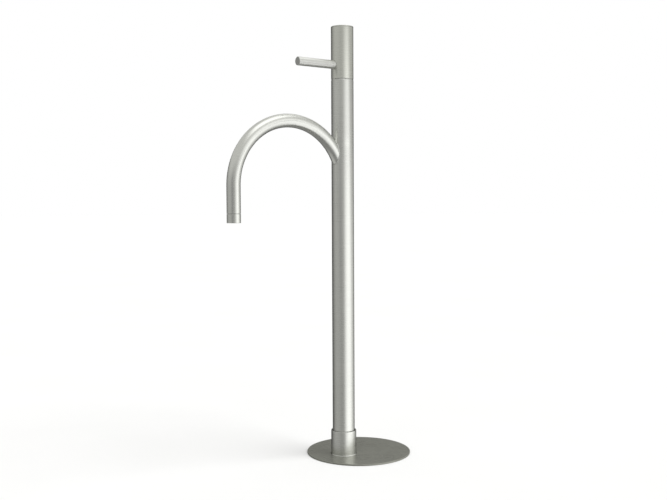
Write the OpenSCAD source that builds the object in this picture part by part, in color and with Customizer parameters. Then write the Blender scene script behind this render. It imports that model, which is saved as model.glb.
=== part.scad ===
// Garden standpipe in satin stainless steel: a column in a socket on an off-centre base plate,
// an arched spout welded to the column, and a turning head with a lever on top.
// The head works a quarter-turn ceramic cartridge. Water rises in an inner pipe, passes the
// cartridge, falls back into the column around that pipe and leaves through the spout.
// Origin: column axis at ground level. +X points along the spout, +Z is up. Millimetres.

/* [Base plate] */
// Diameter of the round plate
plate_d = 200; // [150:1:300]
// Thickness of the plate
plate_t = 3; // [2.5:0.5:8]
// Distance from the plate's centre to the column axis
plate_offset = 36; // [0:1:60]
// Broken edge around the plate
plate_edge = 0.4; // [0.2:0.1:1]
// Hole in the plate for the supply fitting
supply_hole_d = 22; // [21:0.5:23]
// Pitch circle of the floor screws inside the socket
floor_screw_pcd = 33; // [32:0.5:34]
// Number of floor screws
floor_screw_count = 3; // [2:1:4]
// Clearance hole of a floor screw
floor_screw_d = 5.5; // [4.5:0.1:6]
// Head of a countersunk floor screw
floor_screw_head_d = 9.6; // [8:0.1:9.8]

/* [Socket] */
// Height of the socket above the plate
socket_h = 46; // [42:1:90]
// Wall of the socket
socket_wall = 2; // [1.8:0.1:4]
// Radial gap between socket and column
socket_gap = 0.95; // [0.2:0.05:1.2]
// Leg of the weld fillet at the socket's foot
socket_weld = 1; // [0.5:0.1:3]
// Broken edge of the socket's rim
socket_edge = 0.4; // [0.2:0.1:1]
// Height of the grub screws above the plate
socket_screw_z = 23; // [21:0.5:25]
// Grub screws stand at this angle either side of the back
socket_screw_spread = 25; // [10:1:60]
// Thread of the grub screws
socket_screw_d = 6; // [4:0.5:8]
// Length of a grub screw
socket_screw_l = 6; // [5.5:0.1:7.5]
// Dog point of a grub screw
socket_point_d = 4; // [2.5:0.1:5]

/* [Column] */
// Outer diameter of the column tube
column_d = 42.4; // [40:0.1:60]
// Wall of the column tube
column_wall = 2; // [1.5:0.1:3]
// Height of the column's upper rim above the ground
column_top = 718; // [690:1:1000]
// Broken edge of the column's foot, the sleeve's top and the hub
rim_edge = 0.5; // [0.1:0.1:0.6]
// Rounding of the column's rim and of the sleeve's foot, on both sides of the joint
rim_round = 1; // [0.4:0.1:1.2]

/* [Spout] */
// Outer diameter of the spout tube
spout_d = 25; // [20:0.5:30]
// Wall of the spout tube
spout_wall = 1.5; // [1:0.1:2]
// Distance from the column axis to the outlet axis
spout_reach = 238; // [160:1:300]
// Height at which the bend springs from the column axis
spout_spring_z = 517; // [500:1:560]
// Height of the outlet above the ground
outlet_z = 451; // [380:1:470]

/* [Outlet] */
// Height of the aerator housing
aerator_h = 16; // [14:0.5:22]
// Height of the fine seam above the housing
outlet_seam = 0.6; // [0.3:0.1:1.5]
// Thickness of the lip that holds the insert
aerator_lip_t = 1.5; // [1:0.1:2.5]
// Width of that lip
aerator_lip_w = 1.6; // [1:0.1:2.5]
// Rounded lower edge of the housing
aerator_edge = 0.5; // [0.2:0.1:1]
// Height of the perforated insert
insert_h = 4.5; // [3:0.1:5]
// Thickness of the insert's perforated floor
insert_floor_t = 1.5; // [1:0.1:2.5]
// Rings of jet holes around the middle one
jet_rings = 3; // [1:1:3]
// Spacing of the jet holes
jet_pitch = 2.6; // [2.2:0.1:2.8]
// Diameter of a jet hole
jet_d = 1.8; // [1:0.1:2]
// Thickness of the flat washer on the insert
outlet_washer_t = 1.5; // [1:0.1:2]
// Width of that washer
outlet_washer_w = 3.4; // [2:0.1:5]
// Depth that the nipple reaches into the spout tube
nipple_depth = 14; // [8:0.5:24]
// Wall of the nipple
nipple_wall = 2.4; // [1.5:0.1:3.5]

/* [Head] */
// Height of the head above the column's rim, lid included
head_h = 100; // [80:1:160]
// Height of the dark joint between column and head
head_seam = 0.8; // [0.7:0.1:3]
// Thickness of the lid
lid_t = 2; // [1.5:0.1:6]
// Rounded edge of the lid
lid_edge = 0.8; // [0.3:0.1:1.2]
// Depth of the lid's spigot in the sleeve
lid_spigot_h = 6; // [3:0.5:15]
// Wall of the head's sleeve
sleeve_wall = 2; // [1.5:0.1:3]

/* [Lever] */
// Diameter of the lever rod
lever_d = 16; // [10:0.5:20]
// Distance from the column axis to the lever's tip
lever_reach = 102; // [60:1:160]
// Height of the lever's axis above the column's rim
lever_rise = 27.5; // [27:0.5:40]
// Chamfer of the lever's tip
lever_tip_edge = 0.8; // [0.3:0.1:2]
// Depth of the lever's seat in the hub
lever_seat_depth = 4.1; // [3.6:0.1:6]
// Thread of the stud that holds the lever
stud_d = 8; // [5:0.5:9]
// Depth of the stud in the hub, and in the lever
stud_depth = 12; // [8:0.5:13]

/* [Hub] */
// Hub above the lever's axis
hub_over_lever = 13.5; // [11:0.5:20]
// Room under the hub for the cartridge's neck
hub_recess_h = 5; // [3:0.5:6]
// Radius of that room beyond the neck
hub_recess_gap = 2; // [0.5:0.1:4]
// Thickness of the glide ring under the hub, above its lip
glide_t = 2; // [1:0.1:3]
// Width of the glide ring's bearing face
glide_w = 4; // [2:0.1:4.5]
// Distance of the glide ring's lip inside the column's outer face
glide_lip_inset = 1; // [0.4:0.1:1.8]
// Thread of the grub screws in hub and valve body
set_screw_d = 5; // [3:0.5:6]
// Length of the grub screw in the hub
hub_screw_l = 8; // [5:0.5:14]

/* [Inlet plug] */
// Flange of the plug under the column
plug_flange_t = 3; // [2:0.1:6]
// Height of the plug, flange included
plug_h = 38; // [36:0.5:60]
// Bore of the supply thread
inlet_thread_d = 18.6; // [14.9:0.1:18.6]
// Depth of the supply thread
inlet_thread_depth = 15; // [12:0.5:17]
// Floor between the supply thread and the riser
plug_web = 4; // [3:0.5:6]

/* [Riser pipe] */
// Outer diameter of the riser pipe
riser_d = 12; // [10:0.5:14]
// Wall of the riser pipe
riser_wall = 1; // [0.8:0.1:1.5]
// Free length of the riser in its upper seat
riser_play = 1; // [0.5:0.1:2]

/* [Valve body] */
// Depth of the cartridge's seat below the column's rim
seat_depth = 34; // [32:0.5:40]
// Valve body below that seat
valve_below_seat = 20; // [16:0.5:30]
// Depth of the riser's seat in the valve body
riser_seat_depth = 16; // [10:0.5:17]
// Depth of the gallery around the cartridge
gallery_depth = 2.2; // [1.5:0.1:2.6]
// Number of ports from the gallery down into the column
port_count = 6; // [3:1:8]
// Diameter of a port
port_d = 3.8; // [2.5:0.1:4]
// Distance of the set screw below the column's rim
set_screw_drop = 5; // [4:0.1:5.5]
// Length of the set screw
set_screw_l = 6; // [4:0.1:6.5]
// Ledge under the cartridge's nut
nut_ledge = 1.5; // [1:0.1:2]

/* [Cartridge] */
// Outer diameter of the cartridge housing
cartridge_d = 25; // [24:0.1:26]
// Height of the housing below its neck
housing_h = 22; // [20.5:0.5:23]
// Outer diameter of the neck
neck_d = 16; // [15:0.1:18]
// Neck above the column's rim
neck_above = 4; // [3.5:0.1:4.5]
// Diameter of the spindle
spindle_d = 10; // [8:0.1:11]
// Width across the flats of the spindle's end
spindle_flats = 8; // [6:0.1:9]
// Diameter of the ceramic discs
disc_d = 20.8; // [20:0.1:21.5]
// Thickness of a ceramic disc
disc_t = 3.5; // [2.5:0.1:4]
// Inner radius of the water openings in the discs
opening_r_in = 3; // [2:0.1:4]
// Outer radius of the water openings in the discs
opening_r_out = 8.5; // [7:0.1:8.6]
// Angle of a water opening
opening_angle = 80; // [60:1:84]
// Thickness of the seal under the fixed disc
seal_t = 2.5; // [2:0.1:3]
// Width of that seal
seal_w = 1.7; // [1:0.1:1.8]
// Height of the water chamber above the discs
chamber_h = 3.5; // [2.5:0.1:4]
// Thickness of the spindle's flange
flange_t = 3; // [2:0.1:4]
// Width of the spindle's flange
flange_w = 3; // [2:0.1:3.4]
// Thickness of the thrust washer
thrust_t = 0.8; // [0.5:0.1:1]
// Turn of the handle from closed to open
turn_angle = 90; // [60:1:110]
// Angle of the stop lug on the spindle
lug_angle = 60; // [40:1:80]
// Play of the lug at each end of the turn
lug_play = 1; // [0.5:0.1:3]
// Angle of a fork leg that drives the disc
leg_angle = 50; // [30:1:70]
// Width of a fork leg
leg_w = 3.8; // [2:0.1:4.5]
// Depth of the leg in the disc
leg_depth = 1.5; // [1:0.1:2]
// Number of water windows in the housing
window_count = 4; // [2:1:6]
// Angle of a water window
window_angle = 50; // [30:1:55]
// Width of the key on the fixed disc
key_w = 4; // [2:0.1:6]
// Reach of the key beyond the disc
key_reach = 1.4; // [0.8:0.1:1.8]
// Radial step from the housing out to the nut
nut_step = 1.4; // [1:0.1:1.6]
// Height of the nut
nut_h = 8; // [5:0.5:10]
// Width of the nut's spanner slots
nut_slot_w = 4; // [2:0.1:5]
// Depth of the nut's spanner slots
nut_slot_depth = 3; // [2:0.1:4]
// Width of the circlip's groove on the spindle
circlip_t = 1; // [0.8:0.1:1.2]
// Depth of the circlip's groove
circlip_depth = 0.8; // [0.5:0.1:1]
// Reach of the circlip beyond the spindle
circlip_reach = 2; // [1:0.1:2.5]
// Opening of the circlip
circlip_opening = 60; // [40:1:90]

/* [Seals] */
// Groove depth of the large O-rings in the column
big_groove = 1.9; // [1.4:0.1:2.2]
// Spacing of the large O-rings
big_ring_pitch = 5; // [4:0.1:6]
// Distance of the plug's upper O-ring below its top
plug_ring_drop = 3.5; // [3:0.1:5]
// Distance of the body's upper O-ring below the set screw
body_ring_drop = 7.5; // [6.5:0.1:8]
// Groove depth of the small O-rings
small_groove = 1.3; // [0.9:0.1:1.5]
// Spacing of the spindle's O-rings
spindle_ring_pitch = 6; // [4:0.1:7]
// Side play of an O-ring in its groove
ring_side_gap = 0.35; // [0.1:0.05:0.5]

/* [Clearances] */
// Radial play of turned pieces in their bores
seat_gap = 0.1; // [0.05:0.01:0.2]
// Radial play of threads and push fits
thread_gap = 0.05; // [0.02:0.01:0.1]
// Radial play of the spindle in its bearing
bearing_gap = 0.05; // [0.03:0.01:0.08]
// Play between turning pieces that don't bear on each other
run_gap = 0.4; // [0.3:0.05:0.6]
// Play between an O-ring and the walls of its groove
ring_gap = 0.05; // [0.01:0.01:0.1]
// Root gap of the spout's weld
weld_gap = 0.05; // [0.02:0.01:0.1]
// Depth of a screw's end below the surface around it
screw_sink = 0.15; // [0.05:0.05:0.5]

/* [Hidden] */
$fn = 96;
// Cutting solids reach this far past the faces that they cut
cut = 1;
// Hexagon recess of a grub screw, as shares of its thread
hex_share = 0.5;
hex_depth_share = 0.4;
back = 180;

column_r = column_d / 2;
column_bore_r = column_r - column_wall;
turned_r = column_bore_r - seat_gap;
socket_bore_r = column_r + socket_gap;
socket_r = socket_bore_r + socket_wall;
socket_top = plate_t + socket_h;
socket_screw_height = plate_t + socket_screw_z;
socket_screw_head_r = socket_r - screw_sink;
socket_screw_tip_r = socket_screw_head_r - socket_screw_l;
socket_point_l = socket_bore_r - socket_screw_tip_r;
socket_screw_angles = [back - socket_screw_spread, back + socket_screw_spread];

plug_top = plate_t + plug_h;
column_foot = plate_t + plug_flange_t;
riser_r = riser_d / 2;
riser_bore_r = riser_r - riser_wall;
riser_seat_r = riser_r + thread_gap;
riser_foot = plate_t + inlet_thread_depth + plug_web;
plug_riser_ring_z = (riser_foot + plug_top) / 2;
plug_ring_heights = [plug_top - plug_ring_drop - big_ring_pitch, plug_top - plug_ring_drop];

big_ring_space = big_groove + seat_gap;
big_ring_d = big_ring_space - 2 * ring_gap;
big_ring_r = column_bore_r - big_ring_space / 2;
big_groove_h = big_ring_d + 2 * ring_side_gap;
riser_ring_space = small_groove + thread_gap;
riser_ring_d = riser_ring_space - 2 * ring_gap;
riser_ring_r = riser_r + riser_ring_space / 2;
riser_groove_h = riser_ring_d + 2 * ring_side_gap;

spout_r = spout_d / 2;
spout_bore_r = spout_r - spout_wall;
bend_r = spout_reach / 2;
spout_end_z = outlet_z + aerator_h + outlet_seam;
nipple_r = spout_bore_r - thread_gap;
insert_r = nipple_r - thread_gap;
insert_z = outlet_z + aerator_lip_t;
outlet_washer_z = insert_z + insert_h;
nipple_z = outlet_washer_z + outlet_washer_t;
aerator_lip_r = insert_r - aerator_lip_w;

seat_z = column_top - seat_depth;
valve_foot = seat_z - valve_below_seat;
riser_seat_top = valve_foot + riser_seat_depth;
riser_top = riser_seat_top - riser_play;
body_riser_ring_z = valve_foot + riser_seat_depth / 2;
set_screw_z = column_top - set_screw_drop;
body_ring_heights = [
    set_screw_z - body_ring_drop - big_ring_pitch,
    set_screw_z - body_ring_drop
];

cartridge_r = cartridge_d / 2;
cavity_r = cartridge_r + seat_gap;
gallery_r = cavity_r + gallery_depth;
nut_r = cartridge_r + nut_step;
nut_bore_r = nut_r + thread_gap;
neck_r = neck_d / 2;
neck_top = column_top + neck_above;
housing_bore_r = disc_d / 2 + seat_gap;
fixed_disc_z = seat_z + seal_t;
turning_disc_z = fixed_disc_z + disc_t;
turning_disc_top = turning_disc_z + disc_t;
turning_r = housing_bore_r - run_gap;
flange_z = turning_disc_top + chamber_h;
flange_top = flange_z + flange_t;
shoulder_z = flange_top + thrust_t;
housing_top = seat_z + housing_h;
spindle_r = spindle_d / 2;
bearing_r = spindle_r + bearing_gap;
flange_r = spindle_r + flange_w;
leg_foot = turning_disc_top - leg_depth;
leg_r_in = turning_r - leg_w;
housing_ring_space = small_groove + seat_gap;
housing_ring_d = housing_ring_space - 2 * ring_gap;
housing_ring_r = cavity_r - housing_ring_space / 2;
housing_groove_h = housing_ring_d + 2 * ring_side_gap;
housing_ring_z = housing_top - (housing_top - flange_z) / 2;
spindle_ring_d = small_groove - 2 * ring_gap;
spindle_ring_r = spindle_r - small_groove / 2;
spindle_groove_h = spindle_ring_d + 2 * ring_side_gap;
spindle_ring_mid = (housing_top + neck_top) / 2;
spindle_ring_heights = [
    spindle_ring_mid - spindle_ring_pitch / 2,
    spindle_ring_mid + spindle_ring_pitch / 2
];
circlip_z = neck_top + run_gap;

lever_r = lever_d / 2;
lever_z = column_top + lever_rise;
stud_r = stud_d / 2;
glide_lip_top = column_top + head_seam - run_gap;
hub_z = glide_lip_top + glide_t;
hub_top = lever_z + hub_over_lever;
hub_recess_top = hub_z + hub_recess_h;
hub_recess_r = neck_r + hub_recess_gap;
spindle_top = lever_z - stud_r - hub_recess_h;
hub_screw_z = (hub_recess_top + spindle_top) / 2;
hub_screw_tip = spindle_flats / 2 + thread_gap;
set_screw_r = set_screw_d / 2;
lever_seat = turned_r - lever_seat_depth;
stud_in = lever_seat - stud_depth;
stud_out = lever_seat + stud_depth;

sleeve_foot = column_top + head_seam;
head_top = column_top + head_h;
lid_z = head_top - lid_t;
sleeve_bore_r = column_r - sleeve_wall;
hub_r = sleeve_bore_r - seat_gap;

steel = [0.72, 0.72, 0.69];
plate_steel = [0.52, 0.52, 0.48];
brass = [0.80, 0.66, 0.36];
rubber = [0.10, 0.10, 0.11];
ceramic = [0.93, 0.92, 0.88];
polymer = [0.88, 0.88, 0.86];
dark_polymer = [0.25, 0.26, 0.27];

// Cylinder on the column axis between two heights
module disc(r, z0, z1) {
    translate([0, 0, z0]) cylinder(r = r, h = z1 - z0);
}

// Ring on the column axis between two radii and two heights
module ring(r_in, r_out, z0, z1) {
    rotate_extrude() translate([r_in, z0]) square([r_out - r_in, z1 - z0]);
}

// Part of a ring, from a start angle through a sweep
module sector(r_in, r_out, z0, z1, start_angle, sweep) {
    rotate([0, 0, start_angle])
        rotate_extrude(angle = sweep)
            translate([r_in, z0]) square([r_out - r_in, z1 - z0]);
}

// Two sectors that face each other, centred on an angle
module sector_pair(r_in, r_out, z0, z1, middle, sweep) {
    for (side = [0, 180])
        sector(r_in, r_out, z0, z1, middle + side - sweep / 2, sweep);
}

// Turned cylinder with both edges broken
module turned(r, z0, z1, edge) {
    rotate_extrude()
        polygon([
            [0, z0], [r - edge, z0], [r, z0 + edge],
            [r, z1 - edge], [r - edge, z1], [0, z1]
        ]);
}

// Turned cylinder of the column's width, rounded where it starts and with its far edge broken
module rimmed(length) {
    rotate_extrude() {
        polygon([
            [0, 0], [column_r - rim_round, 0], [column_r - rim_round, rim_round], [column_r, rim_round],
            [column_r, length - rim_edge], [column_r - rim_edge, length], [0, length]
        ]);
        translate([column_r - rim_round, rim_round]) circle(r = rim_round);
    }
}

// Groove turned into a shaft from outside
module shaft_groove(r, depth, height, z) {
    ring(r - depth, r + cut, z - height / 2, z + height / 2);
}

// Groove turned into a bore from inside
module bore_groove(r, depth, height, z) {
    ring(r - cut, r + depth, z - height / 2, z + height / 2);
}

module o_ring(r, section_d, z) {
    translate([0, 0, z]) rotate_extrude() translate([r, 0]) circle(d = section_d);
}

// Frame whose +Z runs outward from the column axis at an angle and a height
module radial(angle, z) {
    translate([0, 0, z]) rotate([0, 90, angle]) children();
}

module radial_bore(angle, z, r, from_r, to_r) {
    radial(angle, z) translate([0, 0, from_r]) cylinder(r = r, h = to_r - from_r);
}

// Grub screw with a hexagon recess and a dog point, between two radii
module grub_screw(d, tip_r, head_r, point_d, point_l) {
    hex_depth = d * hex_depth_share;
    difference() {
        union() {
            translate([0, 0, tip_r + point_l]) cylinder(d = d, h = head_r - tip_r - point_l);
            translate([0, 0, tip_r]) cylinder(d = point_d, h = point_l + cut);
        }
        translate([0, 0, head_r - hex_depth])
            cylinder(d = d * hex_share / cos(30), h = hex_depth + cut, $fn = 6);
    }
}

// Round bar along the spout's path: leg, half-turn bend, and into the column
module spout_path(r, leg_foot_z) {
    translate([bend_r, 0, spout_spring_z]) rotate([90, 0, 0])
        rotate_extrude(angle = 180) translate([bend_r, 0]) circle(r = r);
    translate([spout_reach, 0, leg_foot_z]) cylinder(r = r, h = spout_spring_z - leg_foot_z);
}

module floor_screw_hole() {
    sink_h = (floor_screw_head_d - floor_screw_d) / 2;
    translate([0, 0, -cut]) cylinder(d = floor_screw_d, h = plate_t + 2 * cut);
    translate([0, 0, plate_t - sink_h])
        cylinder(d1 = floor_screw_d, d2 = floor_screw_head_d, h = sink_h);
}

module base_plate() {
    color(plate_steel) difference() {
        translate([-plate_offset, 0, 0]) turned(plate_d / 2, 0, plate_t, plate_edge);
        disc(supply_hole_d / 2, -cut, plate_t + cut);
        for (i = [0:floor_screw_count - 1])
            rotate([0, 0, back + i * 360 / floor_screw_count])
                translate([floor_screw_pcd / 2, 0, 0]) floor_screw_hole();
    }
}

module socket_profile() {
    polygon([
        [socket_bore_r, plate_t], [socket_r, plate_t],
        [socket_r, socket_top - socket_edge], [socket_r - socket_edge, socket_top],
        [socket_bore_r + socket_edge, socket_top], [socket_bore_r, socket_top - socket_edge]
    ]);
    difference() {
        translate([socket_r - socket_edge, plate_t])
            square([socket_weld + socket_edge, socket_weld]);
        translate([socket_r + socket_weld, plate_t + socket_weld]) circle(r = socket_weld);
    }
}

module base_socket() {
    color(steel) difference() {
        rotate_extrude() socket_profile();
        for (angle = socket_screw_angles)
            radial_bore(
                angle, socket_screw_height, socket_screw_d / 2 + thread_gap,
                column_r, socket_r + cut
            );
    }
}

module socket_grub_screws() {
    color(steel) for (angle = socket_screw_angles)
        radial(angle, socket_screw_height)
            grub_screw(
                socket_screw_d, socket_screw_tip_r, socket_screw_head_r, socket_point_d, socket_point_l
            );
}

module column_tube() {
    color(steel) difference() {
        translate([0, 0, column_top]) rotate([180, 0, 0]) rimmed(column_top - column_foot);
        disc(column_bore_r, column_foot - cut, column_top + cut);
        spout_path(spout_bore_r, outlet_z);
        for (angle = socket_screw_angles)
            radial_bore(
                angle, socket_screw_height, socket_point_d / 2 + seat_gap,
                column_bore_r - cut, column_r + cut
            );
        radial_bore(back, set_screw_z, set_screw_r + thread_gap, column_bore_r - cut, column_r + cut);
    }
}

module inlet_plug() {
    color(brass) difference() {
        union() {
            disc(column_r, plate_t, column_foot);
            disc(turned_r, plate_t, plug_top);
        }
        disc(inlet_thread_d / 2, plate_t - cut, plate_t + inlet_thread_depth);
        disc(riser_bore_r, plate_t, riser_foot + cut);
        disc(riser_seat_r, riser_foot, plug_top + cut);
        bore_groove(riser_seat_r, small_groove, riser_groove_h, plug_riser_ring_z);
        for (z = plug_ring_heights)
            shaft_groove(turned_r, big_groove, big_groove_h, z);
        for (angle = socket_screw_angles)
            radial_bore(
                angle, socket_screw_height, socket_point_d / 2 + seat_gap,
                socket_screw_tip_r - screw_sink, column_r
            );
    }
}

module inlet_plug_o_rings() {
    color(rubber) for (z = plug_ring_heights)
        o_ring(big_ring_r, big_ring_d, z);
}

module riser_pipe() {
    color(brass) ring(riser_bore_r, riser_r, riser_foot, riser_top);
}

module riser_o_rings() {
    color(rubber) for (z = [plug_riser_ring_z, body_riser_ring_z])
        o_ring(riser_ring_r, riser_ring_d, z);
}

module valve_body() {
    color(brass) difference() {
        disc(turned_r, valve_foot, column_top);
        disc(riser_seat_r, valve_foot - cut, riser_seat_top);
        disc(riser_bore_r, valve_foot, seat_z + cut);
        disc(cavity_r, seat_z, column_top + cut);
        disc(nut_bore_r, housing_top - nut_ledge, column_top + cut);
        ring(cavity_r - cut, gallery_r, turning_disc_z, flange_z);
        bore_groove(riser_seat_r, small_groove, riser_groove_h, body_riser_ring_z);
        for (i = [0:port_count - 1])
            rotate([0, 0, i * 360 / port_count])
                translate([gallery_r, 0, valve_foot - cut])
                    cylinder(d = port_d, h = flange_z - valve_foot);
        for (z = body_ring_heights)
            shaft_groove(turned_r, big_groove, big_groove_h, z);
        radial_bore(
            back, set_screw_z, set_screw_r + thread_gap,
            column_r - screw_sink - set_screw_l - thread_gap, column_r
        );
    }
}

module valve_body_o_rings() {
    color(rubber) for (z = body_ring_heights)
        o_ring(big_ring_r, big_ring_d, z);
}

module body_set_screw() {
    head_r = column_r - screw_sink;
    color(steel) radial(back, set_screw_z)
        grub_screw(set_screw_d, head_r - set_screw_l, head_r, set_screw_d / 2, screw_sink);
}

module cartridge_housing() {
    stop_free = turn_angle + lug_angle + 2 * lug_play;
    stop_start = turn_angle + lug_angle / 2 + lug_play;
    slot_w = key_w + 2 * seat_gap;
    color(brass) difference() {
        union() {
            ring(housing_bore_r, cartridge_r, seat_z, shoulder_z);
            disc(cartridge_r, shoulder_z, housing_top);
            disc(neck_r, shoulder_z, neck_top);
            sector(
                flange_r + run_gap, cartridge_r, flange_z + run_gap, shoulder_z + thrust_t,
                stop_start, 360 - stop_free
            );
        }
        disc(bearing_r, shoulder_z - cut, neck_top + cut);
        shaft_groove(cartridge_r, small_groove, housing_groove_h, housing_ring_z);
        for (i = [0:window_count - 1])
            sector(
                housing_bore_r - seat_gap, cartridge_r + cut, turning_disc_top - leg_depth, flange_z,
                (i + 0.5) * 360 / window_count - window_angle / 2, window_angle
            );
        for (side = [0, 180])
            rotate([0, 0, side])
                translate([-slot_w / 2, housing_bore_r - cut, seat_z - cut])
                    cube([slot_w, cartridge_r - housing_bore_r + 2 * cut, turning_disc_z - seat_z + cut]);
    }
}

module cartridge_o_ring() {
    color(rubber) o_ring(housing_ring_r, housing_ring_d, housing_ring_z);
}

module seat_seal() {
    seal_r = housing_bore_r - seat_gap;
    color(rubber) ring(seal_r - seal_w, seal_r, seat_z, fixed_disc_z);
}

module fixed_disc() {
    color(ceramic) difference() {
        union() {
            disc(disc_d / 2, fixed_disc_z, turning_disc_z);
            translate([-key_w / 2, -disc_d / 2 - key_reach, fixed_disc_z])
                cube([key_w, disc_d + 2 * key_reach, disc_t]);
        }
        sector_pair(
            opening_r_in, opening_r_out, fixed_disc_z - cut, turning_disc_z + cut,
            0, opening_angle
        );
    }
}

module thrust_washer() {
    color(polymer) ring(spindle_r + run_gap, flange_r, flange_top, shoulder_z);
}

module cartridge_nut() {
    nut_top = housing_top + nut_h;
    color(brass) difference() {
        ring(neck_r + seat_gap, nut_r, housing_top, nut_top);
        for (angle = [0, 90])
            rotate([0, 0, angle])
                translate([-nut_r, -nut_slot_w / 2, nut_top - nut_slot_depth])
                    cube([2 * nut_r, nut_slot_w, nut_slot_depth + cut]);
    }
}

// Bearing ring under the hub, with a lip that covers the column's rim in the joint
module glide_ring() {
    ring_r = sleeve_bore_r - run_gap;
    ring_bore_r = ring_r - glide_w;
    color(polymer) {
        ring(ring_bore_r, ring_r, column_top, hub_z);
        ring(ring_bore_r, column_r - glide_lip_inset, column_top, glide_lip_top);
    }
}

module spout_tube() {
    color(steel) difference() {
        spout_path(spout_r, spout_end_z);
        spout_path(spout_bore_r, spout_end_z - cut);
        disc(column_r + weld_gap, 0, column_top);
    }
}

module spout_nipple() {
    color(steel) translate([spout_reach, 0, 0])
        ring(nipple_r - nipple_wall, nipple_r, nipple_z, spout_end_z + nipple_depth);
}

// Outside of the aerator housing with its rounded lower edge
module aerator_profile() {
    translate([0, outlet_z + aerator_edge]) square([spout_r, aerator_h - aerator_edge]);
    translate([0, outlet_z]) square([spout_r - aerator_edge, aerator_edge]);
    translate([spout_r - aerator_edge, outlet_z + aerator_edge]) circle(r = aerator_edge);
}

module aerator_housing() {
    color(steel) translate([spout_reach, 0, 0]) difference() {
        rotate_extrude() aerator_profile();
        disc(aerator_lip_r, outlet_z - cut, insert_z + cut);
        disc(nipple_r + thread_gap, insert_z, outlet_z + aerator_h + cut);
    }
}

module aerator_washer() {
    color(rubber) translate([spout_reach, 0, 0])
        ring(insert_r - outlet_washer_w, insert_r, outlet_washer_z, nipple_z);
}

// Places of the jet holes: rings of six, twelve and more around the middle
function jet_places() = [
    for (q = [-jet_rings:jet_rings])
        for (s = [max(-jet_rings, -q - jet_rings):min(jet_rings, -q + jet_rings)])
            [jet_pitch * (q + s / 2), jet_pitch * s * sin(60)]
];

module aerator_insert() {
    floor_top = insert_z + insert_floor_t;
    color(dark_polymer) translate([spout_reach, 0, 0]) difference() {
        disc(insert_r, insert_z, outlet_washer_z);
        disc(aerator_lip_r, floor_top, outlet_washer_z + cut);
        for (place = jet_places())
            translate([place[0], place[1], insert_z - cut])
                cylinder(d = jet_d, h = insert_floor_t + 2 * cut);
    }
}

module cartridge_spindle() {
    flats_cut = spindle_r - spindle_flats / 2;
    color(brass) difference() {
        union() {
            disc(spindle_r, flange_z, spindle_top);
            disc(flange_r, flange_z, flange_top);
            sector(spindle_r, turning_r, flange_z, flange_top, -lug_angle / 2, lug_angle);
            sector_pair(leg_r_in, turning_r, leg_foot, flange_z, 0, leg_angle);
        }
        for (z = spindle_ring_heights)
            shaft_groove(spindle_r, small_groove, spindle_groove_h, z);
        shaft_groove(spindle_r, circlip_depth, circlip_t, circlip_z + circlip_t / 2);
        for (side = [-1, 1])
            translate([side * (spindle_flats + flats_cut + cut) / 2, 0, (hub_recess_top + spindle_top) / 2])
                cube([flats_cut + cut, spindle_d + cut, spindle_top - hub_recess_top + cut], center = true);
    }
}

module spindle_o_rings() {
    color(rubber) for (z = spindle_ring_heights)
        o_ring(spindle_ring_r, spindle_ring_d, z);
}

module spindle_circlip() {
    groove_r = spindle_r - circlip_depth + ring_gap;
    color(steel) sector(
        groove_r, spindle_r + circlip_reach, circlip_z + ring_gap, circlip_z + circlip_t - ring_gap,
        circlip_opening / 2, 360 - circlip_opening
    );
}

module rotating_disc() {
    color(ceramic) difference() {
        disc(turning_r, turning_disc_z, turning_disc_top);
        sector_pair(
            opening_r_in, opening_r_out, turning_disc_z - cut, turning_disc_top + cut,
            90, opening_angle
        );
        sector_pair(
            leg_r_in - seat_gap, turning_r + cut, leg_foot - ring_gap, turning_disc_top + cut,
            0, leg_angle + lug_play
        );
    }
}

module spindle_bore() {
    intersection() {
        disc(bearing_r, hub_recess_top - cut, spindle_top + run_gap);
        translate([-spindle_flats / 2 - thread_gap, -spindle_d, hub_z])
            cube([spindle_flats + 2 * thread_gap, 2 * spindle_d, hub_top - hub_z]);
    }
}

module handle_hub() {
    color(steel) difference() {
        turned(hub_r, hub_z, hub_top, rim_edge);
        disc(hub_recess_r, hub_z - cut, hub_recess_top);
        spindle_bore();
        radial_bore(0, lever_z, lever_r + thread_gap, lever_seat, column_r);
        radial_bore(0, lever_z, stud_r + thread_gap, stud_in - thread_gap, column_r);
        radial_bore(back, hub_screw_z, set_screw_r + thread_gap, 0, column_r);
    }
}

module handle_grub_screw() {
    color(steel) radial(back, hub_screw_z)
        grub_screw(
            set_screw_d, hub_screw_tip, hub_screw_tip + hub_screw_l,
            set_screw_d / 2, set_screw_d / 4
        );
}

module handle_sleeve() {
    color(steel) difference() {
        translate([0, 0, sleeve_foot]) rimmed(lid_z - sleeve_foot);
        disc(sleeve_bore_r, sleeve_foot - cut, lid_z + cut);
        radial_bore(0, lever_z, lever_r + thread_gap, 0, column_r + cut);
        radial_bore(back, hub_screw_z, set_screw_r + thread_gap, 0, column_r + cut);
    }
}

// Outside of the lid with its rounded upper edge
module lid_profile() {
    translate([0, lid_z]) square([column_r, lid_t - lid_edge]);
    translate([0, lid_z]) square([column_r - lid_edge, lid_t]);
    translate([column_r - lid_edge, head_top - lid_edge]) circle(r = lid_edge);
}

module handle_lid() {
    color(steel) {
        rotate_extrude() lid_profile();
        ring(hub_r - sleeve_wall, hub_r, lid_z - lid_spigot_h, lid_z + lid_t / 2);
    }
}

module lever_rod() {
    color(steel) translate([0, 0, lever_z]) rotate([0, 90, 0]) difference() {
        turned(lever_r, lever_seat, lever_reach, lever_tip_edge);
        disc(stud_r + thread_gap, lever_seat - cut, stud_out + thread_gap);
    }
}

module lever_stud() {
    color(steel) translate([0, 0, lever_z]) rotate([0, 90, 0]) disc(stud_r, stud_in, stud_out);
}

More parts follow.
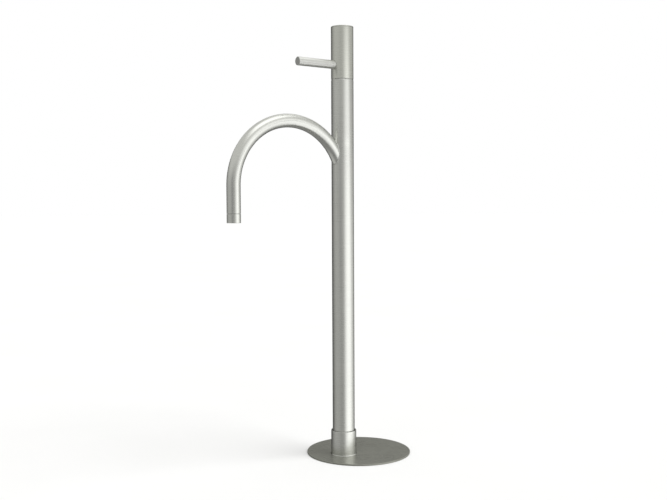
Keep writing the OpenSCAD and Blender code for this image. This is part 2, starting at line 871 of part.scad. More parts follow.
base_plate();
base_socket();
socket_grub_screws();
column_tube();
inlet_plug();
inlet_plug_o_rings();
riser_pipe();
riser_o_rings();
valve_body();
valve_body_o_rings();
body_set_screw();
cartridge_housing();
cartridge_o_ring();
seat_seal();
fixed_disc();
thrust_washer();
cartridge_nut();
glide_ring();
spout_tube();
spout_nipple();
aerator_housing();
aerator_washer();
aerator_insert();
cartridge_spindle();
spindle_o_rings();
spindle_circlip();
rotating_disc();
handle_hub();
handle_grub_screw();
handle_sleeve();
handle_lid();
lever_rod();
lever_stud();
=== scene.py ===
import math

import bmesh
import bpy
from mathutils import Matrix, Vector


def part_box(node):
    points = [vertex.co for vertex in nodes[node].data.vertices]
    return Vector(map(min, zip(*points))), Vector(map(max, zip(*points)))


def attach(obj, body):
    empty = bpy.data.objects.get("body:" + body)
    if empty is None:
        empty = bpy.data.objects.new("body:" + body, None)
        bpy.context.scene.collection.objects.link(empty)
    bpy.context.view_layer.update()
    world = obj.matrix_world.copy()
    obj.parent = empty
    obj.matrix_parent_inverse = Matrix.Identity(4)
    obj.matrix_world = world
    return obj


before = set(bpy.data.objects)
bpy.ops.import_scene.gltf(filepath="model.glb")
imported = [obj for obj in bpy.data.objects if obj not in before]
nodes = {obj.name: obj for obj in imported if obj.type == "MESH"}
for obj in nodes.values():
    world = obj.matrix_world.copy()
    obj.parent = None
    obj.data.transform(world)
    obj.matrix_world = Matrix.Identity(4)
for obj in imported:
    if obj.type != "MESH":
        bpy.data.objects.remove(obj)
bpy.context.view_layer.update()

# Camera, from the outlines in the photograph: metres and degrees
IMAGE_WIDTH_PX = 667
FOCAL_PX = 903.39
SENSOR_MM = 36.0
CAMERA_DISTANCE = 1.7258
CAMERA_HEIGHT = 0.4816
CAMERA_AZIMUTH = 53.51
CAMERA_PAN = -0.603
CAMERA_PITCH = -2.838
CAMERA_ROLL = -0.267

# Shapes that the grain, the weld and the thread follow, read from the frame
spout_low, spout_high = (Vector(corner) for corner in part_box("spout_tube"))
column_low, column_high = (Vector(corner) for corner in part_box("column_tube"))
lever_low, lever_high = (Vector(corner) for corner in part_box("lever_rod"))
column_r = (column_high.x - column_low.x) / 2
spout_r = (spout_high.y - spout_low.y) / 2
outlet_x = spout_high.x - spout_r
bend_r = outlet_x / 2
spring_z = spout_high.z - bend_r - spout_r
lever_tip = lever_high.x
lever_z = (lever_low.z + lever_high.z) / 2
plate_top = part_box("base_plate")[1][2]

# Weld between spout and column: leg of the fillet in metres, its reach into the metal as a share of the
# leg, its hollow as a share of the way to the seam, points round the seam and across the fillet, rounds of
# the search for the seam
WELD_LEG = 0.0012
WELD_ROOT = 0.3
WELD_HOLLOW = 0.5
WELD_STEPS = 120
WELD_ARC = 5
SEAM_ROUNDS = 50

# Supply thread: core radius, depth, pitch and length in metres
THREAD_R = 0.00931
THREAD_DEPTH = 0.0005
THREAD_PITCH = 0.001814
THREAD_LENGTH = 0.015

# Supply thread: half widths of foot and crest as shares of the pitch, points in a turn, points over which
# it runs out, and the share of the depth that is left at its ends
THREAD_FOOT = 0.42
THREAD_CREST = 0.10
THREAD_STEPS = 60
THREAD_LEAD = 20
THREAD_END = 0.05

# Floor and walls of the studio: sizes in metres, cloudiness in clouds to a metre
FLOOR_R = 40.0
FLOOR_SEGMENTS = 128
FLOOR_COLOUR = (0.93, 0.93, 0.92, 1)
FLOOR_CLOUD_COLOUR = (0.95, 0.95, 0.94, 1)
FLOOR_CLOUD_SCALE = 3.0
FLOOR_ROUGHNESS = 0.9
DOME_R = 20.0
DOME_SEGMENTS = 96
DOME_RINGS = 48

# Light on matt surfaces: levels where 1 is white, and degrees
AMBIENT_LEVEL = 0.68
SUN_LEVEL = 1.58
SUN_SPREAD = 42.0
SUN_ELEVATION = 52.0
SUN_AZIMUTH = 126.0

# Dim walls round the column: degrees to the right of the camera, and level
WALL_RING = (
    (-180, 0.06), (-155, 0.07), (-128, 0.24), (-100, 0.45), (-75, 0.54), (-40, 0.51), (-18, 0.44),
    (0, 0.48), (60, 0.50), (120, 0.57), (140, 0.45), (160, 0.18), (180, 0.06),
)
WALL_SLOPE = 0.6
WALL_TINT = (1.0, 1.0, 0.97, 1)

# Ceiling and ground: level, and the sines of the angles above the horizon between which each fades in
CEILING_LEVEL = 0.74
CEILING_EDGE = (0.20, 0.50)
GROUND_LEVEL = 0.30
GROUND_EDGE = (-0.30, -0.60)

# Low light at the left, for the sides that the photograph doesn't show: degrees to the right of the camera,
# level, cosines of its width, and sines of its upper edge
LOW_LIGHT_TURN = -82
LOW_LIGHT_LEVEL = 0.40
LOW_LIGHT_WIDTH = (0.50, 0.88)
LOW_LIGHT_EDGE = (-0.33, -0.46)

# Soft boxes and dark cards: degrees to the right of the camera, distance, height and tilt of the middle,
# half width and half height at half level, softness of these edges, and level. A dark card's level replaces
# what is behind it. The side box has a corner cut off: angle of the cut, its distance from the middle, and
# half the width over which it fades
PANELS = {
    "side_box": dict(
        turn=57, distance=0.55, height=0.22, tilt=0, half=(0.39, 0.66), soft=(0.92, 0.48), level=1.10,
        corner=(27, 0.405, 0.20),
    ),
    "low_box": dict(
        turn=60, distance=0.55, height=-0.30, tilt=0, half=(0.34, 0.20), soft=(0.70, 0.60), level=0.40,
    ),
    "right_box": dict(
        turn=110, distance=0.60, height=0.10, tilt=0, half=(0.24, 0.44), soft=(0.85, 0.60), level=0.33,
    ),
    "top_box": dict(
        turn=36, distance=0.49, height=1.82, tilt=90, half=(0.58, 0.58), soft=(0.50, 0.50), level=1.05,
    ),
    "back_box": dict(
        turn=140, distance=0.95, height=1.80, tilt=90, half=(0.60, 0.55), soft=(0.50, 0.50), level=0.42,
    ),
    "dark_card": dict(
        turn=-26, distance=0.63, height=0.48, tilt=0, half=(0.10, 0.16), soft=(0.80, 0.60), level=0.34,
        dark=True,
    ),
    "lever_card": dict(
        turn=40, distance=0.36, height=0.621, tilt=93.8, half=(0.24, 0.16), soft=(0.60, 0.50), level=0.50,
        dark=True,
    ),
}

# Metals: colour, roughness, the tint of what they mirror at a flat angle where it isn't the usual one, and
# the share of bare metal where a film covers some of it
GRAZING_TINT = 0.25
SATIN_STEEL = dict(colour=(0.640, 0.646, 0.618, 1), roughness=0.30)
HEAD_STEEL = dict(colour=(0.640, 0.647, 0.600, 1), roughness=0.30)
SPOUT_STEEL = dict(colour=SATIN_STEEL["colour"], roughness=0.27, grazing=1.0)
# The nipple's dark colour is painted shade for the joint above the outlet
NIPPLE_PAINTED_SHADE = dict(colour=(0.20, 0.20, 0.19, 1), roughness=0.50)
# The lever's steel is lighter than the satin steel: painted light, a painted sheen
LEVER_STEEL_PAINTED_LIGHTER = dict(colour=(0.690, 0.694, 0.670, 1), roughness=0.42, grazing=0.7)
PLATE_STEEL = dict(colour=(0.376, 0.380, 0.334, 1), roughness=0.29, grazing=0.8, bare=0.76)
PIPE_STEEL = dict(colour=(0.56, 0.56, 0.53, 1), roughness=0.35)
SCREW_STEEL = dict(colour=(0.46, 0.46, 0.45, 1), roughness=0.33)
TURNED_BRASS = dict(colour=(0.70, 0.53, 0.24, 1), roughness=0.30)

# Brushed lines: spacing across the grain and length along it in metres, detail of the noise
FINE_SPACING = 0.0005
FINE_LENGTH = 0.03
FINE_DETAIL = 3.0
COARSE_SPACING = 0.0036
COARSE_LENGTH = 0.12
COARSE_DETAIL = 2.0

# Brushed lines: strength and depth in metres of their relief, change of tone and roughness
GRAIN_STRENGTH = 0.5
GRAIN_DEPTH = 0.00001
GRAIN_TONE = 0.02
GRAIN_GLOSS = 0.05

# Smudges on metal: size in metres, detail of the noise, change of tone and roughness
SMUDGE_SIZE = 0.05
SMUDGE_DETAIL = 3.0
SMUDGE_TONE = 0.01
SMUDGE_GLOSS = 0.03

# Polished edges: width in metres, samples, cosines of the normal's turn between which they fade in, lighter
# tone, which is partly wear and partly a painted highlight, and lower roughness
EDGE_WIDTH = 0.0005
EDGE_SAMPLES = 6
EDGE_TURN = (0.995, 0.90)
EDGE_WEAR_AND_PAINTED_HIGHLIGHT = 0.20
EDGE_POLISH = 0.08

# Sawn end of the lever and cut rim of the plate: tone, the depths in metres between which each fades in,
# and their roughness
LEVER_END_TONE = 0.66
LEVER_END_DEPTH = (0.0004, 0.0002)
PLATE_RIM_TONE = 0.70
PLATE_RIM_DEPTH = (0.0001, 0.0003)
DULL_ROUGHNESS = 0.55

# Rubber, ceramic and plastic: the two colours of their clouds, roughness, size of the grain in metres, and
# strength of its relief
BLACK_RUBBER = dict(
    colour=(0.020, 0.020, 0.021, 1), light=(0.034, 0.034, 0.034, 1),
    roughness=0.62, grain=0.0006, strength=0.3,
)
WHITE_CERAMIC = dict(
    colour=(0.86, 0.85, 0.81, 1), light=(0.90, 0.89, 0.86, 1),
    roughness=0.22, grain=0.0004, strength=0.1,
)
WHITE_POLYMER = dict(
    colour=(0.78, 0.78, 0.76, 1), light=(0.83, 0.83, 0.81, 1),
    roughness=0.45, grain=0.0005, strength=0.2,
)
GREY_POLYMER = dict(
    colour=(0.055, 0.057, 0.060, 1), light=(0.085, 0.087, 0.090, 1),
    roughness=0.50, grain=0.0005, strength=0.3,
)

# Matt surfaces: detail of the grain's noise, its height and the clouds' size in grains, change of roughness
MATT_DETAIL = 3.0
MATT_HEIGHT = 0.05
MATT_CLOUD = 20
MATT_GLOSS = 0.06

# Range of values that a noise node mostly gives
NOISE_RANGE = (0.25, 0.75)


# Node helpers
def feed(tree, socket, value):
    """Links a socket to another one, or sets its value."""
    if isinstance(value, bpy.types.NodeSocket):
        tree.links.new(value, socket)
    else:
        socket.default_value = value


def math_node(tree, operation, first, second=0.0, third=0.0):
    node = tree.nodes.new("ShaderNodeMath")
    node.operation = operation
    for socket, value in zip(node.inputs, (first, second, third)):
        feed(tree, socket, value)
    return node.outputs[0]


def dot_product(tree, first, second):
    node = tree.nodes.new("ShaderNodeVectorMath")
    node.operation = "DOT_PRODUCT"
    feed(tree, node.inputs[0], first)
    feed(tree, node.inputs[1], second)
    return node.outputs["Value"]


def normalised(tree, vector):
    node = tree.nodes.new("ShaderNodeVectorMath")
    node.operation = "NORMALIZE"
    feed(tree, node.inputs[0], vector)
    return node.outputs["Vector"]


def combine(tree, x, y, z):
    node = tree.nodes.new("ShaderNodeCombineXYZ")
    for socket, value in zip(node.inputs, (x, y, z)):
        feed(tree, socket, value)
    return node.outputs[0]


def separate(tree, vector):
    node = tree.nodes.new("ShaderNodeSeparateXYZ")
    feed(tree, node.inputs[0], vector)
    return node.outputs


def smooth_step(tree, value, start, end):
    """Zero at the first limit and one at the second, with a soft change between them."""
    node = tree.nodes.new("ShaderNodeMapRange")
    node.interpolation_type = "SMOOTHSTEP"
    feed(tree, node.inputs["Value"], value)
    node.inputs["From Min"].default_value = start
    node.inputs["From Max"].default_value = end
    return node.outputs[0]


def spread(tree, value, low, high):
    """A noise value, spread linearly between two results."""
    node = tree.nodes.new("ShaderNodeMapRange")
    feed(tree, node.inputs["Value"], value)
    node.inputs["From Min"].default_value = NOISE_RANGE[0]
    node.inputs["From Max"].default_value = NOISE_RANGE[1]
    node.inputs["To Min"].default_value = low
    node.inputs["To Max"].default_value = high
    return node.outputs[0]


def mix_value(tree, factor, first, second):
    node = tree.nodes.new("ShaderNodeMix")
    feed(tree, node.inputs[0], factor)
    feed(tree, node.inputs[2], first)
    feed(tree, node.inputs[3], second)
    return node.outputs[0]


def mix_colour(tree, factor, first, second, blend="MIX"):
    node = tree.nodes.new("ShaderNodeMix")
    node.data_type = "RGBA"
    node.blend_type = blend
    feed(tree, node.inputs[0], factor)
    feed(tree, node.inputs[6], first)
    feed(tree, node.inputs[7], second)
    return node.outputs[2]


def noise(tree, vector, scale=1.0, detail=2.0):
    node = tree.nodes.new("ShaderNodeTexNoise")
    feed(tree, node.inputs["Vector"], vector)
    node.inputs["Scale"].default_value = scale
    node.inputs["Detail"].default_value = detail
    return node.outputs["Fac"]


def bump(tree, height, strength, depth):
    node = tree.nodes.new("ShaderNodeBump")
    node.inputs["Strength"].default_value = strength
    node.inputs["Distance"].default_value = depth
    feed(tree, node.inputs["Height"], height)
    return node


def object_place(tree):
    return tree.nodes.new("ShaderNodeTexCoord").outputs["Object"]


def grey(level):
    return (level, level, level, 1)


def new_material(name):
    material = bpy.data.materials.new(name)
    material.use_nodes = True
    return material, material.node_tree, material.node_tree.nodes["Principled BSDF"]


def new_glow(name):
    """Material with an emission node for its shader, which rays find and which isn't sampled as a lamp."""
    material, tree, shader = new_material(name)
    tree.nodes.remove(shader)
    material.cycles.emission_sampling = "NONE"
    return material, tree, tree.nodes.new("ShaderNodeEmission")


def show(tree, shader):
    """Makes a shader node the surface of its material."""
    tree.links.new(shader.outputs[0], tree.nodes["Material Output"].inputs["Surface"])


# Mesh helpers
def mesh_object(name, shape, material):
    """Object made from a bmesh, with smooth faces."""
    for face in shape.faces:
        face.smooth = True
    mesh = bpy.data.meshes.new(name)
    shape.to_mesh(mesh)
    shape.free()
    mesh.materials.append(material)
    piece = bpy.data.objects.new(name, mesh)
    bpy.context.collection.objects.link(piece)
    return piece


def join_rings(shape, ring, after):
    """Faces between two closed rings of points."""
    for index in range(len(ring)):
        nearby = (index + 1) % len(ring)
        shape.faces.new((ring[index], ring[nearby], after[nearby], after[index]))


# Camera
def photo_camera():
    """Camera at the photograph's place, with its pan, pitch and roll about the line to the column."""
    turn = Matrix.Rotation(math.radians(CAMERA_AZIMUTH + 90), 3, "Z")
    pan, pitch, roll = (math.radians(v) for v in (CAMERA_PAN, CAMERA_PITCH, CAMERA_ROLL))
    forward = Vector((
        math.sin(pan) * math.cos(pitch), math.cos(pan) * math.cos(pitch), math.sin(pitch)
    ))
    level = Vector((math.cos(pan), -math.sin(pan), 0))
    upright = level.cross(forward)
    right = math.cos(roll) * level + math.sin(roll) * upright
    up = -math.sin(roll) * level + math.cos(roll) * upright
    axes = turn @ Matrix((right, up, -forward)).transposed()
    data = bpy.data.cameras.new("photo_camera")
    data.sensor_width = SENSOR_MM
    data.lens = FOCAL_PX / IMAGE_WIDTH_PX * SENSOR_MM
    camera = bpy.data.objects.new("photo_camera", data)
    place = turn @ Vector((0, -CAMERA_DISTANCE, CAMERA_HEIGHT))
    camera.matrix_world = Matrix.Translation(place) @ axes.to_4x4()
    bpy.context.collection.objects.link(camera)
    bpy.context.scene.camera = camera


# Studio
def studio_azimuth(turn):
    """Angle about the column in the frame, by degrees to the right of the camera."""
    return math.radians(CAMERA_AZIMUTH + turn)


def studio_direction(turn):
    """Level direction away from the column, by degrees to the right of the camera."""
    azimuth = studio_azimuth(turn)
    return (math.cos(azimuth), math.sin(azimuth), 0)


def only_in_reflections(piece):
    """A card of the studio that metal mirrors and nothing else sees."""
    piece.visible_camera = False
    piece.visible_diffuse = False
    piece.visible_transmission = False
    piece.visible_volume_scatter = False
    piece.visible_shadow = False


def ring_ramp(tree, direction, stops):
    """Level by the direction round the column: stops are degrees to the right of the camera and levels."""
    front = dot_product(tree, direction, studio_direction(0))
    side = dot_product(tree, direction, studio_direction(90))
    turn = math_node(tree, "ARCTAN2", side, front)
    node = tree.nodes.new("ShaderNodeValToRGB")
    feed(tree, node.inputs[0], math_node(tree, "MULTIPLY_ADD", turn, 0.5 / math.pi, 0.5))
    ramp = node.color_ramp
    ramp.interpolation = "EASE"
    ramp.elements.remove(ramp.elements[1])
    ramp.elements[0].color = grey(stops[0][1])
    for degrees, level in stops[1:]:
        ramp.elements.new((degrees + 180) / 360).color = grey(level)
    return node.outputs[0]


def low_light(tree, direction, height):
    """Soft glow below the horizon, around one direction."""
    facing = dot_product(tree, direction, studio_direction(LOW_LIGHT_TURN))
    glow = math_node(tree, "MULTIPLY", smooth_step(tree, facing, *LOW_LIGHT_WIDTH), LOW_LIGHT_LEVEL)
    glow = math_node(tree, "MULTIPLY", glow, smooth_step(tree, height, *LOW_LIGHT_EDGE))
    return combine(tree, glow, glow, glow)


def dome_material():
    """Dim studio walls that grow darker behind the object, with a ceiling and a ground."""
    material, tree, glow = new_glow("studio_walls")
    direction = normalised(tree, object_place(tree))
    height = separate(tree, direction)[2]
    slope = math_node(tree, "MULTIPLY_ADD", height, WALL_SLOPE, 1.0)
    level = ring_ramp(tree, direction, WALL_RING)
    level = mix_colour(tree, 1.0, level, combine(tree, slope, slope, slope), "MULTIPLY")
    level = mix_colour(tree, smooth_step(tree, height, *CEILING_EDGE), level, grey(CEILING_LEVEL))
    level = mix_colour(tree, smooth_step(tree, height, *GROUND_EDGE), level, grey(GROUND_LEVEL))
    level = mix_colour(tree, 1.0, level, low_light(tree, direction, height), "ADD")
    level = mix_colour(tree, 1.0, level, WALL_TINT, "MULTIPLY")
    feed(tree, glow.inputs["Color"], level)
    show(tree, glow)
    return material


def studio_dome():
    shape = bmesh.new()
    bmesh.ops.create_uvsphere(shape, u_segments=DOME_SEGMENTS, v_segments=DOME_RINGS, radius=DOME_R)
    only_in_reflections(mesh_object("studio_dome", shape, dome_material()))


def corner_fade(tree, px, pz, angle, reach, width):
    """One in the middle of a panel, zero beyond a slanting cut across one corner."""
    slant = math_node(tree, "MULTIPLY", pz, math.sin(math.radians(angle)))
    slant = math_node(tree, "MULTIPLY_ADD", px, math.cos(math.radians(angle)), slant)
    return smooth_step(tree, slant, reach + width, reach - width)


def panel_fade(tree, half, soft, corner):
    """One in the middle of a panel, falling to zero at its edges."""
    px, _, pz = separate(tree, object_place(tree))
    share = 1.0
    for place, size, softness in zip((px, pz), half, soft):
        edge = math_node(tree, "ABSOLUTE", place)
        fade = smooth_step(tree, edge, size * (1 + softness), size * (1 - softness))
        share = math_node(tree, "MULTIPLY", share, fade)
    if corner:
        share = math_node(tree, "MULTIPLY", share, corner_fade(tree, px, pz, *corner))
    return share


def panel_material(name, half, soft, level, dark, corner):
    """A soft box adds its glow to what is behind it, a dark card covers it."""
    material, tree, glow = new_glow(name)
    share = panel_fade(tree, half, soft, corner)
    clear = tree.nodes.new("ShaderNodeBsdfTransparent")
    both = tree.nodes.new("ShaderNodeMixShader" if dark else "ShaderNodeAddShader")
    if dark:
        feed(tree, both.inputs[0], share)
        glow.inputs["Strength"].default_value = level
    else:
        feed(tree, glow.inputs["Strength"], math_node(tree, "MULTIPLY", share, level))
    tree.links.new(clear.outputs[0], both.inputs[-2])
    tree.links.new(glow.outputs[0], both.inputs[-1])
    show(tree, both)
    return material


def panel(name, turn, distance, height, tilt, half, soft, level, dark=False, corner=None):
    """Flat panel that faces the column, tilted down by an angle."""
    shape = bmesh.new()
    end_x, end_z = (size * (1 + softness) for size, softness in zip(half, soft))
    corners = ((-end_x, 0, -end_z), (end_x, 0, -end_z), (end_x, 0, end_z), (-end_x, 0, end_z))
    shape.faces.new([shape.verts.new(place) for place in corners])
    piece = mesh_object(name, shape, panel_material(name, half, soft, level, dark, corner))
    x, y, _ = studio_direction(turn)
    piece.location = (distance * x, distance * y, height)
    piece.rotation_euler = (-math.radians(tilt), 0, studio_azimuth(turn) + math.pi / 2)
    only_in_reflections(piece)


def floor_material():
    """Pale matt floor with a faint cloudiness."""
    material, tree, shader = new_material("pale_floor")
    cloud = spread(tree, noise(tree, object_place(tree), scale=FLOOR_CLOUD_SCALE), 0.0, 1.0)
    feed(tree, shader.inputs["Base Color"], mix_colour(tree, cloud, FLOOR_COLOUR, FLOOR_CLOUD_COLOUR))
    shader.inputs["Roughness"].default_value = FLOOR_ROUGHNESS
    shader.inputs["Specular IOR Level"].default_value = 0.0
    return material


def floor():
    shape = bmesh.new()
    bmesh.ops.create_circle(shape, cap_ends=True, segments=FLOOR_SEGMENTS, radius=FLOOR_R)
    disc = mesh_object("studio_floor", shape, floor_material())
    disc.visible_glossy = False


def studio_world():
    """White behind the floor, plain grey light on matt surfaces."""
    world = bpy.data.worlds.new("studio")
    bpy.context.scene.world = world
    world.use_nodes = True
    tree = world.node_tree
    path = tree.nodes.new("ShaderNodeLightPath").outputs
    seen = math_node(tree, "MAXIMUM", path["Is Camera Ray"], path["Is Glossy Ray"])
    seen = math_node(tree, "MAXIMUM", seen, path["Is Transmission Ray"])
    back = tree.nodes["Background"]
    back.inputs["Color"].default_value = grey(1.0)
    feed(tree, back.inputs["Strength"], mix_value(tree, seen, AMBIENT_LEVEL, 1.0))


def key_light():
    """Wide soft light from above and the camera's right."""
    data = bpy.data.lights.new("key_light", "SUN")
    data.energy = SUN_LEVEL
    data.angle = math.radians(SUN_SPREAD)
    lamp = bpy.data.objects.new("key_light", data)
    lamp.rotation_euler = (0, math.radians(90 - SUN_ELEVATION), math.radians(SUN_AZIMUTH))
    lamp.visible_glossy = False
    bpy.context.collection.objects.link(lamp)


# Grain of metal: two places along the lines and one across them
def length_of(tree, first, second):
    """Length of a vector with two parts."""
    square = math_node(tree, "MULTIPLY", second, second)
    return math_node(tree, "SQRT", math_node(tree, "MULTIPLY_ADD", first, first, square))


def turned_grain(x=0.0, y=0.0):
    """Lines round an upright axis: rings on a tube, circles on an end face."""
    def lay(tree):
        px, py, pz = separate(tree, object_place(tree))
        dx = math_node(tree, "SUBTRACT", px, x)
        dy = math_node(tree, "SUBTRACT", py, y)
        return px, py, math_node(tree, "ADD", pz, length_of(tree, dx, dy))
    return lay


def lever_grain(tree):
    """Lines round the lever's axis, and circles on its tip."""
    px, py, pz = separate(tree, object_place(tree))
    dz = math_node(tree, "SUBTRACT", pz, lever_z)
    return py, pz, math_node(tree, "ADD", px, length_of(tree, dz, py))


def spout_grain(tree):
    """Lines round the spout, which follow its bend and its straight leg."""
    px, py, pz = separate(tree, object_place(tree))
    across = math_node(tree, "SUBTRACT", px, bend_r)
    above = math_node(tree, "SUBTRACT", pz, spring_z)
    bend = math_node(tree, "MULTIPLY", math_node(tree, "ARCTAN2", above, across), bend_r)
    on_bend = math_node(tree, "GREATER_THAN", above, 0.0)
    return px, py, mix_value(tree, on_bend, above, bend)


def sheet_grain(tree):
    """Straight lines across a rolled sheet."""
    px, py, pz = separate(tree, object_place(tree))
    return px, pz, py


# Metal
def grain_lines(tree, place, spacing, length, detail):
    """Noise that is drawn out along the grain."""
    along_a, along_b, across = place
    return noise(tree, combine(
        tree,
        math_node(tree, "MULTIPLY", along_a, 1 / length),
        math_node(tree, "MULTIPLY", along_b, 1 / length),
        math_node(tree, "MULTIPLY", across, 1 / spacing),
    ), detail=detail)


def rounded_edge(tree):
    """Normal with softened edges, and a mask of the edges themselves."""
    bevel = tree.nodes.new("ShaderNodeBevel")
    bevel.samples = EDGE_SAMPLES
    bevel.inputs["Radius"].default_value = EDGE_WIDTH
    geometry = tree.nodes.new("ShaderNodeNewGeometry")
    same = dot_product(tree, bevel.outputs[0], geometry.outputs["Normal"])
    return bevel.outputs[0], smooth_step(tree, same, *EDGE_TURN)


def metal_tone(tree, fine, coarse, smudge, edge):
    """Share of the metal's colour: streaks, smudges, and edges made lighter, partly as wear and partly as a
    painted highlight.
    """
    fine_tone = spread(tree, fine, -GRAIN_TONE, GRAIN_TONE)
    coarse_tone = spread(tree, coarse, -GRAIN_TONE, GRAIN_TONE)
    smudge_tone = spread(tree, smudge, 1 - SMUDGE_TONE, 1 + SMUDGE_TONE)
    tone = math_node(tree, "ADD", coarse_tone, fine_tone)
    tone = math_node(tree, "ADD", tone, smudge_tone)
    # Edges lighter in tone: partly polished wear, partly a painted highlight
    return math_node(tree, "MULTIPLY_ADD", edge, EDGE_WEAR_AND_PAINTED_HIGHLIGHT, tone)


def metal_gloss(tree, roughness, fine, smudge, edge):
    """Roughness that changes with lines and smudges and is lower at the edges."""
    fine_gloss = spread(tree, fine, -GRAIN_GLOSS, GRAIN_GLOSS)
    smudge_gloss = spread(tree, smudge, -SMUDGE_GLOSS, SMUDGE_GLOSS)
    gloss = math_node(tree, "ADD", fine_gloss, smudge_gloss)
    gloss = math_node(tree, "ADD", gloss, roughness)
    return math_node(tree, "MULTIPLY_ADD", edge, -EDGE_POLISH, gloss)


def brushed_metal(name, grain, colour, roughness, grazing=GRAZING_TINT, bare=1.0, dull=None):
    """Satin metal: fine lines in height and roughness, streaks and smudges in tone, polished edges with a
    painted highlight.

    grazing tints what the metal mirrors at a flat angle. bare is the share of clean metal, and the rest is
    a dull film. dull gives the mask and the tone of a cut face.
    """
    material, tree, shader = new_material(name)
    place = grain(tree)
    fine = grain_lines(tree, place, FINE_SPACING, FINE_LENGTH, FINE_DETAIL)
    coarse = grain_lines(tree, place, COARSE_SPACING, COARSE_LENGTH, COARSE_DETAIL)
    smudge = noise(tree, object_place(tree), scale=1 / SMUDGE_SIZE, detail=SMUDGE_DETAIL)
    soft_normal, edge = rounded_edge(tree)
    tone = metal_tone(tree, fine, coarse, smudge, edge)
    gloss = metal_gloss(tree, roughness, fine, smudge, edge)
    if dull:
        cut_face, cut_tone = dull(tree)
        tone = math_node(tree, "MULTIPLY", tone, mix_value(tree, cut_face, 1.0, cut_tone))
        gloss = mix_value(tree, cut_face, gloss, DULL_ROUGHNESS)
    tone = combine(tree, tone, tone, tone)
    relief = bump(tree, math_node(tree, "ADD", fine, coarse), GRAIN_STRENGTH, GRAIN_DEPTH)
    feed(tree, relief.inputs["Normal"], soft_normal)
    feed(tree, shader.inputs["Base Color"], mix_colour(tree, 1.0, colour, tone, "MULTIPLY"))
    feed(tree, shader.inputs["Roughness"], gloss)
    feed(tree, shader.inputs["Normal"], relief.outputs[0])
    shader.inputs["Metallic"].default_value = bare
    shader.inputs["Specular Tint"].default_value = grey(grazing)
    return material


def lever_end(tree):
    """The lever's flat end."""
    along = separate(tree, object_place(tree))[0]
    start, end = (lever_tip - depth for depth in LEVER_END_DEPTH)
    return smooth_step(tree, along, start, end), LEVER_END_TONE


def plate_rim(tree):
    """The plate's cut edge, below its upper face."""
    height = separate(tree, object_place(tree))[2]
    start, end = (plate_top - depth for depth in PLATE_RIM_DEPTH)
    return smooth_step(tree, height, start, end), PLATE_RIM_TONE


# Rubber, ceramic and plastic
def matt_material(name, colour, light, roughness, grain, strength):
    """Moulded or lapped surface: fine grain in height and roughness, cloudy tone."""
    material, tree, shader = new_material(name)
    place = object_place(tree)
    fine = noise(tree, place, scale=1 / grain, detail=MATT_DETAIL)
    cloud = spread(tree, noise(tree, place, scale=1 / (MATT_CLOUD * grain)), 0.0, 1.0)
    gloss = spread(tree, fine, roughness - MATT_GLOSS, roughness + MATT_GLOSS)
    relief = bump(tree, fine, strength, MATT_HEIGHT * grain)
    feed(tree, shader.inputs["Base Color"], mix_colour(tree, cloud, colour, light))
    feed(tree, shader.inputs["Roughness"], gloss)
    feed(tree, shader.inputs["Normal"], relief.outputs[0])
    return material


# Materials of the CAD nodes
def dress(material, *names):
    """Gives CAD nodes their material."""
    for name in names:
        slots = nodes[name].data.materials
        slots.clear()
        slots.append(material)


def dress_tubes():
    satin = brushed_metal("satin_steel", turned_grain(), **SATIN_STEEL)
    dress(satin, "column_tube", "base_socket")
    return satin


def dress_head():
    dress(brushed_metal("head_steel", turned_grain(), **HEAD_STEEL), "handle_sleeve", "handle_lid")


def dress_spout():
    dress(brushed_metal("spout_steel", spout_grain, **SPOUT_STEEL), "spout_tube")


def dress_outlet():
    dress(brushed_metal("outlet_steel", turned_grain(outlet_x), **SPOUT_STEEL), "aerator_housing")


def dress_nipple():
    """Painted shade: dark and dull, so that the joint above the outlet, which is all that shows of it,
    looks shaded.
    """
    dress(brushed_metal("nipple_painted_shade", turned_grain(outlet_x), **NIPPLE_PAINTED_SHADE), "spout_nipple")


def dress_lever():
    # Lighter steel on the lever: painted light
    lever = brushed_metal("lever_steel", lever_grain, dull=lever_end, **LEVER_STEEL_PAINTED_LIGHTER)
    dress(lever, "lever_rod", "lever_stud")


def dress_plate():
    dress(brushed_metal("plate_steel", sheet_grain, dull=plate_rim, **PLATE_STEEL), "base_plate")


def dress_pipes():
    dress(brushed_metal("pipe_steel", turned_grain(), **PIPE_STEEL), "riser_pipe", "handle_hub")


def dress_screws():
    screws = brushed_metal("screw_steel", turned_grain(), **SCREW_STEEL)
    dress(screws, "socket_grub_screws", "body_set_screw", "handle_grub_screw", "spindle_circlip")


def dress_brass():
    brass = brushed_metal("turned_brass", turned_grain(), **TURNED_BRASS)
    dress(brass, "inlet_plug", "valve_body", "cartridge_housing", "cartridge_nut", "cartridge_spindle")
    return brass


def dress_seals():
    rubber = matt_material("black_rubber", **BLACK_RUBBER)
    dress(rubber, "inlet_plug_o_rings", "riser_o_rings", "valve_body_o_rings", "cartridge_o_ring")
    dress(rubber, "seat_seal", "aerator_washer", "spindle_o_rings")


def dress_discs():
    dress(matt_material("white_ceramic", **WHITE_CERAMIC), "fixed_disc", "rotating_disc")


def dress_plastics():
    dress(matt_material("white_polymer", **WHITE_POLYMER), "thrust_washer", "glide_ring")
    dress(matt_material("grey_polymer", **GREY_POLYMER), "aerator_insert")


# Thread in the inlet: a ridge that winds along the bore
def thread_section(step, steps):
    """Points across the ridge at one step of its way, lower at both ends."""
    angle = 2 * math.pi * step / THREAD_STEPS
    middle = plate_top + THREAD_PITCH / 2 + THREAD_PITCH * step / THREAD_STEPS
    ends = min(1.0, step / THREAD_LEAD, (steps - step) / THREAD_LEAD)
    crest = THREAD_R - max(ends, THREAD_END) * THREAD_DEPTH
    places = (
        (THREAD_R, -THREAD_FOOT), (crest, -THREAD_CREST), (crest, THREAD_CREST), (THREAD_R, THREAD_FOOT)
    )
    return [
        (r * math.cos(angle), r * math.sin(angle), middle + share * THREAD_PITCH) for r, share in places
    ]


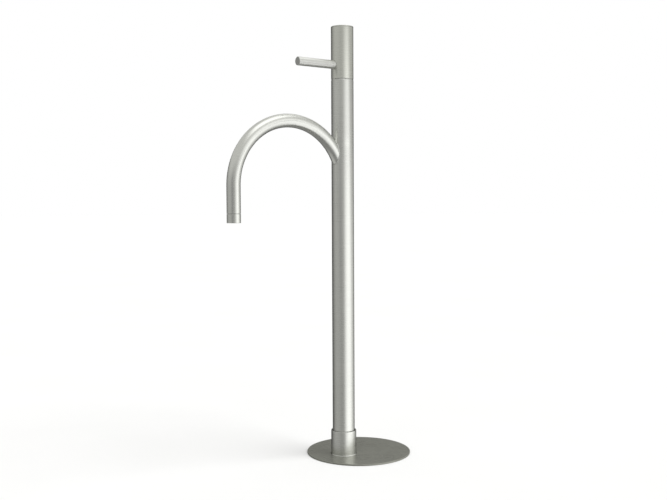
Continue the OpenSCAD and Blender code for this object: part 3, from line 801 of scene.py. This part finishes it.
def inlet_thread(material):
    shape = bmesh.new()
    steps = round((THREAD_LENGTH - THREAD_PITCH) / THREAD_PITCH * THREAD_STEPS)
    rings = []
    for step in range(steps + 1):
        rings.append([shape.verts.new(point) for point in thread_section(step, steps)])
    for ring, after in zip(rings, rings[1:]):
        join_rings(shape, ring, after)
    shape.faces.new(rings[0])
    shape.faces.new(reversed(rings[-1]))
    bmesh.ops.recalc_face_normals(shape, faces=shape.faces)
    piece = mesh_object("inlet_thread", shape, material)
    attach(piece, "standpipe")


# Weld between spout and column
def bend_point(section, reach, angle):
    """Point in the bend: angle round its section, distance from the section's middle, angle along it."""
    out = bend_r + reach * math.cos(section)
    across = reach * math.sin(section)
    return Vector((bend_r + out * math.cos(angle), across, spring_z + out * math.sin(angle)))


def seam_angle(section):
    """Angle along the bend at which a line of the spout meets the column's face."""
    low, high = math.pi / 2, math.pi
    for _ in range(SEAM_ROUNDS):
        middle = (low + high) / 2
        point = bend_point(section, spout_r, middle)
        if math.hypot(point.x, point.y) > column_r:
            low = middle
        else:
            high = middle
    return low


def column_foot(seam, column_normal, spout_normal):
    """Point on the column's face, one leg away from the seam."""
    up_column = (spout_normal - spout_normal.dot(column_normal) * column_normal).normalized()
    foot = seam + WELD_LEG * up_column
    around = math.hypot(foot.x, foot.y)
    return Vector((foot.x * column_r / around, foot.y * column_r / around, foot.z))


def weld_section(section):
    """Points across the fillet at one place of the seam: an arc from column to spout, and its root."""
    angle = seam_angle(section)
    seam = bend_point(section, spout_r, angle)
    column_normal = Vector((seam.x, seam.y, 0)).normalized()
    spout_normal = (seam - bend_point(section, 0, angle)).normalized()
    on_column = column_foot(seam, column_normal, spout_normal)
    on_spout = bend_point(section, spout_r, angle - WELD_LEG / bend_r)
    arc = []
    for step in range(WELD_ARC + 1):
        share = step / WELD_ARC
        chord = on_column.lerp(on_spout, share)
        arc.append(chord.lerp(seam, 4 * WELD_HOLLOW * share * (1 - share)))
    root = seam - WELD_ROOT * WELD_LEG * (column_normal + spout_normal)
    return arc + [root]


def weld(material):
    shape = bmesh.new()
    rings = []
    for step in range(WELD_STEPS):
        points = weld_section(2 * math.pi * step / WELD_STEPS)
        rings.append([shape.verts.new(point) for point in points])
    for ring, after in zip(rings, rings[1:] + rings[:1]):
        join_rings(shape, ring, after)
    bmesh.ops.recalc_face_normals(shape, faces=shape.faces)
    piece = mesh_object("spout_weld", shape, material)
    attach(piece, "standpipe")


photo_camera()
bpy.context.scene.view_settings.view_transform = "Standard"
studio_world()
studio_dome()
for panel_name, panel_values in PANELS.items():
    panel(panel_name, **panel_values)
floor()
key_light()
satin_steel = dress_tubes()
dress_head()
dress_spout()
dress_outlet()
dress_nipple()
dress_lever()
dress_plate()
dress_pipes()
dress_screws()
turned_brass = dress_brass()
dress_seals()
dress_discs()
dress_plastics()
weld(satin_steel)
inlet_thread(turned_brass)
